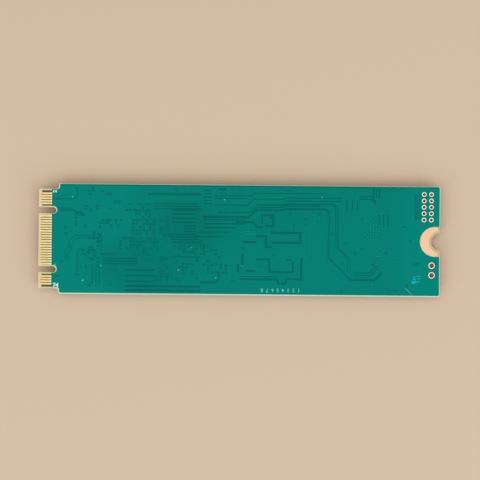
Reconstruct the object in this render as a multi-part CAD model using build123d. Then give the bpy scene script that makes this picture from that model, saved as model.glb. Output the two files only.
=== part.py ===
from build123d import *
import os

# An M.2 solid-state drive card with two key slots, lying on its chips with the bare back up.
# Millimetres. +X runs from the card edge to the mounting notch, +Y to the low-numbered contacts.
# The origin is under the middle of the card, on the surface that the chips lie on.

# Card edge: numbered contact places, the even ones on the back and the odd ones on the chip side
CONTACT_PLACES = 75
CONTACT_PITCH = 0.5
CONTACT_WIDTH = 0.35
CONTACT_LENGTH = 2.3
CONTACT_MARGIN = 0.5
CONTACT_BEVEL_GAP = 0.05
BEVEL_LENGTH = 0.3
BEVEL_DEPTH = 0.15
KEY_OFFSETS = (5.625, -6.125)
KEY_WIDTH = 1.2
KEY_DEPTH = 3.5
KEY_MOUTH_CHAMFER = 0.15
KEY_TO_CONTACT = 0.3

# Board, and the places of the chips along it as shares of its length
BOARD_LENGTH = 80.0
CONTROLLER_SHARE = 0.16875
FLASH_END_SHARE = 0.0875
INPUT_SHARE = 0.12
TONGUE_LENGTH = 4.0
SHOULDER_STEP = 1.075
SHOULDER_RADIUS = 0.5
CORNER_CHAMFER = 0.2
LAMINATE_THICKNESS = 0.68
MASK_THICKNESS = 0.06
MASK_PULLBACK = 0.175
MASK_DRIFT = (0.035, 0.075)
COPPER_THICKNESS = 0.04

# Mounting notch in the end of the board, and the copper round it
NOTCH_RADIUS = 1.75
NOTCH_BARE_RING = 0.45
PAD_WIDTH = 5.75
PAD_REACH = 3.9
PAD_END_GAP = 0.45
PAD_CLEARANCE = 0.12

# Plated holes: a block of programming holes beside the notch and two test holes on its other side.
# They repeat, so each has only a few sides.
HOLE_SIDES = 10
RING_WIDTH = 0.22
PLATING = 0.03
HEADER_HOLE = 0.56
HEADER_ROWS = 5
HEADER_PITCH = 1.27
HEADER_COLUMNS = 2
HEADER_COLUMN_SPACING = 1.45
HEADER_SETBACK = 1.77
HEADER_OFFSET = -0.04
TEST_HOLE = 0.92
TEST_COUNT = 2
TEST_SPACING = 1.93
TEST_SETBACK = 1.63
TEST_OFFSET = 1.24

# Gaps etched in the copper under the mask on the back, which show as shallow grooves.
# Their routes are drawn for one length of board, and stretch with another.
ROUTE_LENGTH = 80.0
GROOVE_DEPTH = 0.035
FINE_GAP = 0.18
WIDE_GAP = 0.42
STRIP_WIDTH = 1.1
ARTWORK_MARGIN = 0.35
GAP_TO_HOLE = 0.25

# Chips in ball-grid packages, all of one mounted height, so that the card lies flat on them
CHIP_HEIGHT = 1.2
BALL_HEIGHT = 0.25
BALL_DIAMETER = 0.42
BALL_SIDES = 4
BALL_MARGIN = 0.75
MARK_DIAMETER = 0.9
MARK_DEPTH = 0.04
MARK_INSET = 1.1
FLASH_LENGTH = 12.0
FLASH_WIDTH = 18.0
FLASH_COUNT = 2
FLASH_GAP = 0.8
FLASH_BALL_PITCH = 2.0
CONTROLLER_SIZE = 10.0
CONTROLLER_OFFSET = 1.5
CONTROLLER_BALL_PITCH = 1.2
CACHE_LENGTH = 8.0
CACHE_WIDTH = 10.5
CACHE_GAP = 1.8
CACHE_OFFSET = -4.4
CACHE_BALL_PITCH = 1.2

# Leadless chips: the body, and the solder lands round its foot
LAND_WIDTH = 0.25
LAND_HEIGHT = 0.2
LAND_PROUD = 0.1
REGULATOR_SIZE = 4.0
REGULATOR_HEIGHT = 0.75
REGULATOR_LANDS = 6
SWITCH_SIZE = 2.0
SWITCH_HEIGHT = 0.7
SWITCH_LANDS = 4
BOOT_LENGTH = 3.0
BOOT_WIDTH = 2.0
BOOT_HEIGHT = 0.6
BOOT_LANDS = 4
LAND_PITCH = 0.5

# Coils of the power section
COIL_LENGTH = 2.5
COIL_WIDTH = 2.0
COIL_HEIGHT = 1.0
COIL_EDGE_CHAMFER = 0.25
COIL_TERMINAL = 0.12
COIL_TERMINAL_WIDTH = 1.4
COIL_TERMINAL_HEIGHT = 0.55
COIL_COUNT = 3
COIL_SPACING = 2.8

# Clock crystal: a ceramic base with a soldered metal lid
CRYSTAL_LENGTH = 3.2
CRYSTAL_WIDTH = 2.5
CRYSTAL_BASE_HEIGHT = 0.45
CRYSTAL_LID_HEIGHT = 0.3
CRYSTAL_LID_INSET = 0.2
CRYSTAL_LID_CHAMFER = 0.3

# Small two-ended parts: length, width, height and the length of an end cap
BULK_LENGTH = 2.0
BULK_WIDTH = 1.25
BULK_HEIGHT = 0.9
BULK_CAP = 0.4
CAPACITOR_LENGTH = 1.0
CAPACITOR_WIDTH = 0.5
CAPACITOR_HEIGHT = 0.5
CAPACITOR_CAP = 0.25
RESISTOR_LENGTH = 1.0
RESISTOR_WIDTH = 0.5
RESISTOR_HEIGHT = 0.35
RESISTOR_CAP = 0.2
BODY_STEP = 0.02
PART_GAP = 0.45
ROW_PITCH = 1.2
BULK_PITCH = 1.7
BULK_INPUTS = 3
BULK_OUTPUTS = 3
CONTROLLER_CAPACITORS = 7
BETWEEN_CAPACITORS = 3
CACHE_CAPACITORS = 6
FLASH_CAPACITORS = 8
CONTACT_RESISTORS = 7
INPUT_OFFSET = 6.8
RESISTOR_SETBACK = 6.4
POWER_OFFSET = 0.8

# How close two places count as one
NEAR = 1e-6

# Sizes that follow from the ones above
tongue_width = (CONTACT_PLACES - 1) * CONTACT_PITCH / 2 + CONTACT_WIDTH + 2 * CONTACT_MARGIN
board_width = tongue_width + 2 * SHOULDER_STEP
card_edge = -BOARD_LENGTH / 2
end_edge = BOARD_LENGTH / 2
contact_start = card_edge + BEVEL_LENGTH + CONTACT_BEVEL_GAP
contact_end = contact_start + CONTACT_LENGTH
chip_face = CHIP_HEIGHT
laminate_bottom = chip_face + MASK_THICKNESS
laminate_top = laminate_bottom + LAMINATE_THICKNESS
back_face = laminate_top + MASK_THICKNESS
stretch = BOARD_LENGTH / ROUTE_LENGTH
controller_x = card_edge + CONTROLLER_SHARE * BOARD_LENGTH + CONTROLLER_SIZE / 2
cache_x = controller_x + CONTROLLER_SIZE / 2 + CACHE_GAP + CACHE_LENGTH / 2
input_x = card_edge + INPUT_SHARE * BOARD_LENGTH
flash_end = end_edge - FLASH_END_SHARE * BOARD_LENGTH
flash_step = FLASH_LENGTH + FLASH_GAP
flash_front = flash_end - FLASH_COUNT * flash_step + FLASH_GAP
power_x = (cache_x + CACHE_LENGTH / 2 + flash_front - PART_GAP - CAPACITOR_WIDTH) / 2
power_length = REGULATOR_SIZE + PART_GAP + COIL_LENGTH
regulator_x = power_x - power_length / 2 + REGULATOR_SIZE / 2
coil_x = power_x + power_length / 2 - COIL_LENGTH / 2
crystal_y = CONTROLLER_OFFSET + CONTROLLER_SIZE / 2 + PART_GAP + CRYSTAL_WIDTH / 2
boot_y = CONTROLLER_OFFSET - CONTROLLER_SIZE / 2 - PART_GAP - BOOT_WIDTH / 2


def place_y(place):
    """Distance of a numbered contact place from the middle line."""
    return ((CONTACT_PLACES + 1) / 2 - place) * CONTACT_PITCH / 2


def span(x_from, x_to, width):
    """Rectangle between two places along the card, on its middle line."""
    return Pos((x_from + x_to) / 2, 0) * Rectangle(x_to - x_from, width)


def key_slot(offset, inset):
    """Slot with a full-round end and a chamfered mouth, cut in from the card edge."""
    half = KEY_WIDTH / 2 + inset
    mouth = half + KEY_MOUTH_CHAMFER
    round_x = card_edge + KEY_DEPTH - KEY_WIDTH / 2
    lead_x = card_edge + KEY_MOUTH_CHAMFER
    upper = Polyline((round_x, half), (lead_x, half), (card_edge, mouth))
    lower = mirror(upper, Plane.XZ)
    across = Line((card_edge, mouth), (card_edge, -mouth))
    end = RadiusArc((round_x, half), (round_x, -half), half)
    slot = make_face([*upper.edges(), across, *lower.edges(), end])
    return Pos(0, offset) * slot


def card_outline(inset=0.0):
    """Outline of the card, drawn in by an inset on every side."""
    shoulder_x = card_edge + TONGUE_LENGTH + inset
    body_half = board_width / 2 - inset
    body = span(shoulder_x, end_edge - inset, 2 * body_half)
    tongue = span(card_edge + inset, 0.0, tongue_width - 2 * inset)
    card = body + tongue
    front_x = card_edge + inset + NEAR
    side_y = body_half - NEAR
    card = fillet(card.vertices().filter_by(lambda v: v.X > front_x and abs(v.Y) < side_y), SHOULDER_RADIUS)
    card = chamfer(card.vertices().filter_by(lambda v: v.X < front_x or abs(v.Y) > side_y), CORNER_CHAMFER)
    for offset in KEY_OFFSETS:
        card -= key_slot(offset, inset)
    return card - Pos(end_edge, 0) * Circle(NOTCH_RADIUS + inset)


def pad_stadium(growth=0.0):
    """Outer shape of the copper round the notch, or one wider by a growth, run past the end of the board."""
    width = PAD_WIDTH + 2 * growth
    round_x = end_edge - PAD_REACH + PAD_WIDTH / 2
    return Pos(round_x, 0) * Circle(width / 2) + span(round_x, end_edge + PAD_WIDTH, width)


def header_places():
    """Hole centres of the programming block, midway between the pad and the board's side."""
    middle = (PAD_WIDTH / 2 + board_width / 2) / 2 + HEADER_OFFSET
    rows = [middle + (index - (HEADER_ROWS - 1) / 2) * HEADER_PITCH for index in range(HEADER_ROWS)]
    near_x = end_edge - HEADER_SETBACK
    columns = [near_x - index * HEADER_COLUMN_SPACING for index in range(HEADER_COLUMNS)]
    return [(x, y) for x in columns for y in rows]


def test_places():
    """Centres of the two test holes, on the other side of the notch."""
    middle = -(PAD_WIDTH / 2 + board_width / 2) / 2 + TEST_OFFSET
    offsets = [(index - (TEST_COUNT - 1) / 2) * TEST_SPACING for index in range(TEST_COUNT)]
    return [(end_edge - TEST_SETBACK, middle + offset) for offset in offsets]


def plated_holes():
    """Every plated hole as its centre and its bore."""
    return [(at, HEADER_HOLE) for at in header_places()] + [(at, TEST_HOLE) for at in test_places()]


def disc(diameter):
    """Disc with the few sides that a plated hole has."""
    return RegularPolygon(diameter / 2, HOLE_SIDES)


def discs(growth):
    """A disc on every plated hole, wider than its bore by a growth on each side."""
    return Sketch() + [Pos(*at) * disc(bore + 2 * growth) for at, bore in plated_holes()]


def bevel_wedge(face, inward):
    """Wedge that takes the corner off the card edge on one face of the laminate."""
    corner = (card_edge, face)
    run = (card_edge + BEVEL_LENGTH, face)
    drop = (card_edge, face + inward * BEVEL_DEPTH)
    wedge = make_face(Polyline(corner, run, drop, close=True))
    return extrude(Plane.XZ * wedge, tongue_width, both=True)


def board_laminate():
    """Glass-fibre board with its key slots, notch, drilled holes and bevelled card edge."""
    board = extrude(card_outline() - discs(PLATING), LAMINATE_THICKNESS)
    board = Pos(0, 0, laminate_bottom) * board
    return board - bevel_wedge(laminate_top, -1) - bevel_wedge(laminate_bottom, 1)


def mask_area():
    """Area of the solder mask, printed a little off the routed outline and clear of all bare copper."""
    window = span(card_edge - CONTACT_LENGTH, contact_end, board_width)
    printed = Pos(*MASK_DRIFT) * card_outline(MASK_PULLBACK)
    return printed - window - pad_stadium(PAD_CLEARANCE) - discs(RING_WIDTH)


def from_edge(points):
    """Route points given from the card edge, as places on the board."""
    return [(card_edge + x * stretch, y) for x, y in points]


def from_end(points):
    """Route points given back from the end of the board, as places on the board."""
    return [(end_edge - x * stretch, y) for x, y in points]


def groove(points, width=FINE_GAP):
    """Groove of even width along a route."""
    return trace(Polyline(*points), line_width=width)


def bus(points, step, count, width=FINE_GAP):
    """Grooves side by side along one route, each moved by a step from the last."""
    routes = [[(x + step[0] * lane, y + step[1] * lane) for x, y in points] for lane in range(count)]
    return [groove(route, width) for route in routes]


def input_gaps():
    """Gaps round the power input beside the contacts, and the data pair from the contacts."""
    moat = from_edge([(3.0, 7.92), (7.2, 7.92), (7.65, 8.4), (7.65, board_width / 2)])
    branch = from_edge([(4.0, 6.1), (6.6, 6.1), (7.6, 5.3), (9.0, 5.3)])
    pair = from_edge([(5.4, -4.0), (5.4, -2.4), (6.05, -1.6), (6.05, -0.5), (7.2, 0.66), (11.3, 0.66),
                      (12.0, -0.1)])
    block = from_edge([(9.0, -2.0), (8.3, -2.0), (7.8, -2.6), (7.8, -6.6)])
    stub = from_edge([(12.5, 1.6), (12.5, -2.2)])
    drops = from_edge([(10.8, -5.6), (10.8, -9.1)])
    return [
        groove(moat),
        *bus(branch, (0.25, -0.42), 2),
        *bus(pair, (0.5, -0.5), 2),
        groove(block, WIDE_GAP),
        groove(stub),
        *bus(drops, (0.7, 0.0), 3),
    ]


def controller_gaps():
    """Lanes that leave the controller, over the cache memory and along the lower side."""
    upper_edge = from_edge([(21.7, 9.05), (32.5, 9.05)])
    upper = from_edge([(22.6, 7.2), (31.9, 7.2)])
    middle = from_edge([(26.5, 5.9), (31.4, 5.9)])
    ladder = from_edge([(29.0, 2.75), (31.4, 2.75)])
    cache = from_edge([(25.9, 1.07), (31.5, 1.07)])
    lower = from_edge([(12.9, -3.8), (19.8, -3.8)])
    corner = from_edge([(26.6, -3.43), (31.2, -3.43), (32.0, -4.2)])
    lower_edge = from_edge([(17.3, -6.1), (23.3, -6.1)])
    side = from_edge([(17.3, -9.32), (32.3, -9.32)])
    hook = from_edge([(32.3, -8.45), (35.4, -8.45), (36.0, -7.8), (36.0, -6.3)])
    return [
        groove(upper_edge, WIDE_GAP),
        *bus(upper, (0.3, -0.52), 3),
        *bus(middle, (0.0, -0.8), 4),
        *bus(ladder, (0.0, -0.55), 3),
        *bus(cache, (0.2, -0.53), 4),
        *bus(lower, (0.0, -0.55), 3),
        groove(corner),
        *bus(lower_edge, (0.0, -1.12), 3),
        *bus(side, (0.0, -0.8), 2, WIDE_GAP),
        groove(hook, WIDE_GAP),
    ]


def flash_gaps():
    """Lanes from the controller to the flash memory, which jog, run on and turn down beside it."""
    rungs = from_edge([(32.9, 9.9), (34.5, 9.9)])
    high = from_edge([(35.1, 8.85), (42.3, 8.85), (42.9, 9.38), (57.0, 9.38)])
    stub_lane = from_edge([(35.1, 8.35), (41.4, 8.35)])
    long_lane = from_edge([(35.1, 7.0), (41.6, 7.0), (42.9, 8.2), (48.8, 8.2), (49.1, 8.5), (60.4, 8.5)])
    short_lane = from_edge([(49.0, 7.9), (60.2, 7.9)])
    inner_lane = from_edge([(43.3, 7.1), (48.8, 7.1), (49.0, 7.3), (58.5, 7.3), (59.15, 6.65), (59.15, -1.1),
                            (61.6, -3.55), (61.6, -6.3)])
    middle_lane = from_edge([(35.8, 5.55), (42.2, 5.55), (43.25, 6.6), (48.8, 6.6), (49.1, 6.85),
                             (56.0, 6.85)])
    outer_lane = from_edge([(32.7, 4.62), (41.9, 4.62), (43.3, 6.05), (48.8, 6.05), (49.05, 6.3), (57.2, 6.3),
                            (57.84, 5.66), (57.84, -3.4), (62.2, -7.7), (67.0, -7.7), (68.4, -6.3)])
    strokes = from_edge([(61.4, 8.1), (61.4, 6.0)])
    side_lanes = from_edge([(33.0, 4.05), (41.2, 4.05)])
    stop_lanes = from_edge([(33.0, 2.47), (39.3, 2.47)])
    foot_lanes = from_edge([(62.6, -6.3), (66.0, -6.3), (67.6, -4.7)])
    return [
        *bus(rungs, (0.0, -0.67), 5),
        groove(high),
        groove(stub_lane),
        groove(long_lane),
        groove(short_lane),
        *bus(inner_lane, (0.5, -0.1), 2),
        groove(middle_lane),
        groove(outer_lane, WIDE_GAP),
        *bus(strokes, (1.05, 0.0), 3),
        *bus(side_lanes, (0.0, -0.8), 2),
        *bus(stop_lanes, (-1.2, -0.9), 3),
        *bus(foot_lanes, (0.2, -0.5), 2),
    ]


def power_gaps():
    """Wide gaps between the copper islands of the power section."""
    step = from_edge([(39.3, 3.62), (42.7, 3.62), (43.5, 2.65), (44.8, 2.65)])
    island = from_edge([(44.5, 3.3), (44.5, 5.05), (46.7, 5.05), (46.7, 2.87), (45.3, 2.87)])
    bar = from_edge([(40.6, -0.35), (43.4, -0.35)])
    notch = from_edge([(43.4, 0.85), (45.3, 0.85), (45.3, -1.3), (46.4, -1.3)])
    coil_bed = from_edge([(46.2, 1.55), (52.2, 1.55), (52.2, -0.42), (46.5, -0.42)])
    cradle = from_edge([(43.4, -3.75), (45.95, -3.75), (46.1, -6.3), (50.7, -6.3), (50.7, -4.2)])
    left_wall = from_edge([(40.65, -2.8), (40.65, -5.0)])
    shelf = from_edge([(41.4, -6.1), (43.3, -6.1)])
    outer_wall = from_edge([(39.8, -4.7), (39.8, -6.4)])
    floor = from_edge([(40.2, -7.2), (47.8, -7.2)])
    yoke = from_edge([(40.2, -7.75), (47.6, -7.75), (47.9, -8.6), (49.2, -8.6), (49.5, -7.68), (52.4, -7.68),
                      (52.4, -3.4)])
    islands = [step, island, bar, notch, coil_bed, cradle, left_wall, shelf, outer_wall, yoke]
    return [groove(route, WIDE_GAP) for route in islands] + [groove(floor)]


def end_gaps():
    """Lanes at the far end, and the bare strip beside the programming holes."""
    corner_lanes = from_end([(16.2, 8.9), (13.8, 8.9), (12.8, 7.9)])
    risers = from_end([(13.3, board_width / 2), (13.3, 8.6)])
    comb = from_end([(12.2, 5.3), (12.2, 2.9)])
    ring_edge = min(x for x, y in header_places()) - HEADER_HOLE / 2 - RING_WIDTH
    strip_x = ring_edge - GAP_TO_HOLE - STRIP_WIDTH / 2
    rows = [y for x, y in header_places()]
    strip = groove([(strip_x, min(rows)), (strip_x, max(rows))], STRIP_WIDTH)
    return [*bus(corner_lanes, (0.0, -0.5), 2), *bus(risers, (0.6, 0.0), 3), *bus(comb, (0.9, 0.0), 3), strip]


def solder_mask_back():
    """Mask on the bare back, with the etched gaps of the copper under it as grooves."""
    area = mask_area()
    keep_out = discs(RING_WIDTH + GAP_TO_HOLE) + pad_stadium(PAD_CLEARANCE + ARTWORK_MARGIN)
    artwork = card_outline(MASK_PULLBACK + ARTWORK_MARGIN) - keep_out
    artwork -= span(card_edge, contact_end + ARTWORK_MARGIN, board_width)
    gaps = Sketch() + input_gaps() + controller_gaps() + flash_gaps() + power_gaps() + end_gaps()
    mask = Pos(0, 0, laminate_top) * extrude(area, MASK_THICKNESS)
    return mask - Pos(0, 0, back_face - GROOVE_DEPTH) * extrude(gaps & artwork, GROOVE_DEPTH)


def solder_mask_front():
    """Mask on the chip side."""
    return Pos(0, 0, chip_face) * extrude(mask_area(), MASK_THICKNESS)


def contacts(first_place, bottom):
    """Gold contacts on one face, leaving out those that would come too near a key slot."""
    pad = extrude(span(contact_start, contact_end, CONTACT_WIDTH), COPPER_THICKNESS)
    reach = (KEY_WIDTH + CONTACT_WIDTH) / 2 + KEY_TO_CONTACT
    rows = [place_y(place) for place in range(first_place, CONTACT_PLACES + 1, 2)]
    kept = [y for y in rows if min(abs(y - offset) for offset in KEY_OFFSETS) > reach]
    return Compound([Pos(0, y, bottom) * pad for y in kept])


def mount_pad(bottom):
    """Copper round the notch, short of the notch wall and of the board's end."""
    inside = span(end_edge - 2 * PAD_REACH, end_edge - PAD_END_GAP, PAD_WIDTH)
    pad = (pad_stadium() & inside) - Pos(end_edge, 0) * Circle(NOTCH_RADIUS + NOTCH_BARE_RING)
    return Pos(0, 0, bottom) * extrude(pad, COPPER_THICKNESS)


def plated_barrels(places, bore):
    """Plated holes: a tube through the board with a copper ring on each face."""
    tube = extrude(disc(bore + 2 * PLATING), LAMINATE_THICKNESS)
    ring = extrude(disc(bore + 2 * RING_WIDTH), COPPER_THICKNESS)
    flanged = Pos(0, 0, -COPPER_THICKNESS) * ring + tube + Pos(0, 0, LAMINATE_THICKNESS) * ring
    barrel = flanged - extrude(disc(bore), LAMINATE_THICKNESS + COPPER_THICKNESS, both=True)
    return Compound([Pos(x, y, laminate_bottom) * barrel for x, y in places])


def seated(length, width, height, standoff=0.0):
    """Block whose top is on the chip side of the board, or a stand-off below it."""
    return Pos(0, 0, chip_face - standoff - height / 2) * Box(length, width, height)


def ball_grid_package(length, width):
    """Moulded chip package with its round first-pin mark on the outer face."""
    body = seated(length, width, CHIP_HEIGHT - BALL_HEIGHT, BALL_HEIGHT)
    mark = extrude(disc(MARK_DIAMETER), MARK_DEPTH)
    return body - Pos(MARK_INSET - length / 2, width / 2 - MARK_INSET, 0) * mark


def spread(extent, pitch):
    """Even places at a pitch, as many as an extent takes, centred on zero."""
    count = int(extent / pitch + NEAR) + 1
    return [(index - (count - 1) / 2) * pitch for index in range(count)]


def solder_balls(length, width, pitch):
    """Outer rows of solder balls under a package, as plain posts because there are many."""
    columns = spread(length - 2 * BALL_MARGIN, pitch)
    rows = spread(width - 2 * BALL_MARGIN, pitch)
    sides = [(x, y) for x in (columns[0], columns[-1]) for y in rows]
    ends = [(x, y) for x in columns[1:-1] for y in (rows[0], rows[-1])]
    ball = extrude(RegularPolygon(BALL_DIAMETER / 2, BALL_SIDES), BALL_HEIGHT)
    return Compound([Pos(x, y, chip_face - BALL_HEIGHT) * ball for x, y in sides + ends])


def solder_lands(length, width, count, sides):
    """Lands round the foot of a leadless chip, on two or four of its sides."""
    lands = []
    for turn in sides:
        reach = (length if turn in (0, 180) else width) / 2
        land = Pos(reach + LAND_PROUD / 2, 0, 0) * seated(LAND_PROUD, LAND_WIDTH, LAND_HEIGHT)
        for y in spread((count - 1) * LAND_PITCH, LAND_PITCH):
            lands.append(Rot(0, 0, turn) * Pos(0, y, 0) * land)
    return Compound(lands)


def two_ended(length, width, height, cap):
    """Body and two end caps of a small soldered part."""
    body = seated(length - 2 * cap, width - 2 * BODY_STEP, height - BODY_STEP)
    ends = [Pos(side * (length - cap) / 2, 0, 0) * seated(cap, width, height) for side in (-1, 1)]
    return body, ends


def group(pieces, places):
    """Copies of a few solids at places given as x, y and a turn about the upright."""
    return Compound([Pos(x, y, 0) * Rot(0, 0, turn) * piece for x, y, turn in places for piece in pieces])


def coil():
    """Moulded power coil: its body with chamfered corners and the flat terminals at its ends."""
    body = seated(COIL_LENGTH - 2 * COIL_TERMINAL, COIL_WIDTH, COIL_HEIGHT)
    body = chamfer(body.edges().filter_by(Axis.Z), COIL_EDGE_CHAMFER)
    shift = (COIL_LENGTH - COIL_TERMINAL) / 2
    flat = seated(COIL_TERMINAL, COIL_TERMINAL_WIDTH, COIL_TERMINAL_HEIGHT)
    return body, [Pos(side * shift, 0, 0) * flat for side in (-1, 1)]


def crystal_lid():
    """Metal lid of the clock crystal, with clipped corners, set in from the edge of its base."""
    length = CRYSTAL_LENGTH - 2 * CRYSTAL_LID_INSET
    width = CRYSTAL_WIDTH - 2 * CRYSTAL_LID_INSET
    lid = seated(length, width, CRYSTAL_LID_HEIGHT, CRYSTAL_BASE_HEIGHT)
    return chamfer(lid.edges().filter_by(Axis.Z), CRYSTAL_LID_CHAMFER)


def column(x, middle, count, turn, pitch=ROW_PITCH):
    """Places for a column of small parts across the card."""
    return [(x, middle + (index - (count - 1) / 2) * pitch, turn) for index in range(count)]


def row(middle, y, count, turn, pitch=ROW_PITCH):
    """Places for a row of small parts along the card."""
    return [(middle + (index - (count - 1) / 2) * pitch, y, turn) for index in range(count)]


def coil_places():
    """Column of coils beside the regulator."""
    return column(coil_x, POWER_OFFSET, COIL_COUNT, 0, COIL_SPACING)


def bulk_places():
    """Large capacitors at the power input and above and below the coils."""
    reach = (COIL_COUNT - 1) * COIL_SPACING / 2 + COIL_WIDTH / 2 + PART_GAP + BULK_LENGTH / 2
    inputs = column(input_x, -INPUT_OFFSET, BULK_INPUTS, 0, BULK_PITCH)
    above = row(power_x, POWER_OFFSET + reach, BULK_OUTPUTS, 90, BULK_PITCH)
    below = row(power_x, POWER_OFFSET - reach, BULK_OUTPUTS, 90, BULK_PITCH)
    return inputs + above + below


def capacitor_places():
    """Small capacitors round the controller, the cache memory and the flash memory."""
    side = PART_GAP + CAPACITOR_LENGTH / 2
    edge = PART_GAP + CAPACITOR_WIDTH / 2
    cache_top = CACHE_OFFSET + CACHE_WIDTH / 2
    controller_top = CONTROLLER_OFFSET + CONTROLLER_SIZE / 2
    controller_front = controller_x - CONTROLLER_SIZE / 2
    between_x = cache_x - (CACHE_LENGTH + CACHE_GAP) / 2
    beside_controller = column(controller_front - side, CONTROLLER_OFFSET, CONTROLLER_CAPACITORS, 0)
    between = column(between_x, (cache_top + controller_top) / 2, BETWEEN_CAPACITORS, 90)
    over_cache = row(cache_x, cache_top + side, CACHE_CAPACITORS, 90)
    before_flash = column(flash_front - edge, 0.0, FLASH_CAPACITORS, 90)
    behind_flash = column(flash_end + edge, 0.0, FLASH_CAPACITORS, 90)
    return beside_controller + between + over_cache + before_flash + behind_flash


def resistor_places():
    """Resistors behind the contacts and one on each side of the crystal."""
    reach = CRYSTAL_LENGTH / 2 + PART_GAP + RESISTOR_WIDTH / 2
    beside_crystal = [(controller_x + side * reach, crystal_y, 90) for side in (-1, 1)]
    return column(card_edge + RESISTOR_SETBACK, 0.0, CONTACT_RESISTORS, 0) + beside_crystal


controller_at = Pos(controller_x, CONTROLLER_OFFSET, 0)
cache_at = Pos(cache_x, CACHE_OFFSET, 0)
regulator_at = Pos(regulator_x, POWER_OFFSET, 0)
switch_at = Pos(input_x, INPUT_OFFSET, 0)
boot_at = Pos(controller_x, boot_y, 0)
crystal_at = Pos(controller_x, crystal_y, 0)
controller_balls = solder_balls(CONTROLLER_SIZE, CONTROLLER_SIZE, CONTROLLER_BALL_PITCH)
flash_balls = solder_balls(FLASH_LENGTH, FLASH_WIDTH, FLASH_BALL_PITCH)
regulator_lands = solder_lands(REGULATOR_SIZE, REGULATOR_SIZE, REGULATOR_LANDS, (0, 90, 180, 270))
coil_body, coil_terminals = coil()
bulk_body, bulk_ends = two_ended(BULK_LENGTH, BULK_WIDTH, BULK_HEIGHT, BULK_CAP)
capacitor_body, capacitor_ends = two_ended(CAPACITOR_LENGTH, CAPACITOR_WIDTH, CAPACITOR_HEIGHT, CAPACITOR_CAP)
resistor_body, resistor_ends = two_ended(RESISTOR_LENGTH, RESISTOR_WIDTH, RESISTOR_HEIGHT, RESISTOR_CAP)

nodes = {
    "board_laminate": board_laminate(),
    "solder_mask_back": solder_mask_back(),
    "solder_mask_front": solder_mask_front(),
    "contacts_back": contacts(2, laminate_top),
    "contacts_front": contacts(1, laminate_bottom - COPPER_THICKNESS),
    "mount_pad_back": mount_pad(laminate_top),
    "mount_pad_front": mount_pad(laminate_bottom - COPPER_THICKNESS),
    "header_barrels": plated_barrels(header_places(), HEADER_HOLE),
    "test_hole_barrels": plated_barrels(test_places(), TEST_HOLE),
    "controller": controller_at * ball_grid_package(CONTROLLER_SIZE, CONTROLLER_SIZE),
    "controller_balls": controller_at * controller_balls,
    "cache_memory": cache_at * ball_grid_package(CACHE_LENGTH, CACHE_WIDTH),
    "cache_memory_balls": cache_at * solder_balls(CACHE_LENGTH, CACHE_WIDTH, CACHE_BALL_PITCH),
    "power_regulator": regulator_at * seated(REGULATOR_SIZE, REGULATOR_SIZE, REGULATOR_HEIGHT),
    "power_regulator_lands": regulator_at * regulator_lands,
    "load_switch": switch_at * seated(SWITCH_SIZE, SWITCH_SIZE, SWITCH_HEIGHT),
    "load_switch_lands": switch_at * solder_lands(SWITCH_SIZE, SWITCH_SIZE, SWITCH_LANDS, (0, 180)),
    "boot_memory": boot_at * seated(BOOT_LENGTH, BOOT_WIDTH, BOOT_HEIGHT),
    "boot_memory_lands": boot_at * solder_lands(BOOT_LENGTH, BOOT_WIDTH, BOOT_LANDS, (0, 180)),
    "clock_crystal_base": crystal_at * seated(CRYSTAL_LENGTH, CRYSTAL_WIDTH, CRYSTAL_BASE_HEIGHT),
    "clock_crystal_lid": crystal_at * crystal_lid(),
    "coil_bodies": group([coil_body], coil_places()),
    "coil_terminals": group(coil_terminals, coil_places()),
    "bulk_capacitor_bodies": group([bulk_body], bulk_places()),
    "bulk_capacitor_ends": group(bulk_ends, bulk_places()),
    "capacitor_bodies": group([capacitor_body], capacitor_places()),
    "capacitor_ends": group(capacitor_ends, capacitor_places()),
    "resistor_bodies": group([resistor_body], resistor_places()),
    "resistor_ends": group(resistor_ends, resistor_places()),
}
for index in range(FLASH_COUNT):
    flash_at = Pos(flash_front + FLASH_LENGTH / 2 + index * flash_step, 0, 0)
    nodes[f"flash_memory_{index + 1}"] = flash_at * ball_grid_package(FLASH_LENGTH, FLASH_WIDTH)
    nodes[f"flash_memory_{index + 1}_balls"] = flash_at * flash_balls

os.makedirs("parts", exist_ok=True)
for name, shape in nodes.items():
    export_step(shape, f"parts/{name}.step")
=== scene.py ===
"""Dresses an M.2 solid-state drive card that lies on its chips, with its bare back up.

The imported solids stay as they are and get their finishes. Added to them are the closed vias and the short
gaps of the back, the figures, the round plated holes, the solder balls and fillets, and the small wear.
Sizes and places are in millimetres unless a comment says metres.
"""

from __future__ import annotations

import logging
import math
import random
from dataclasses import dataclass
from enum import Enum
from functools import cached_property
from typing import Any, Iterable

import bmesh
import bpy
from mathutils import Matrix, Vector

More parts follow.
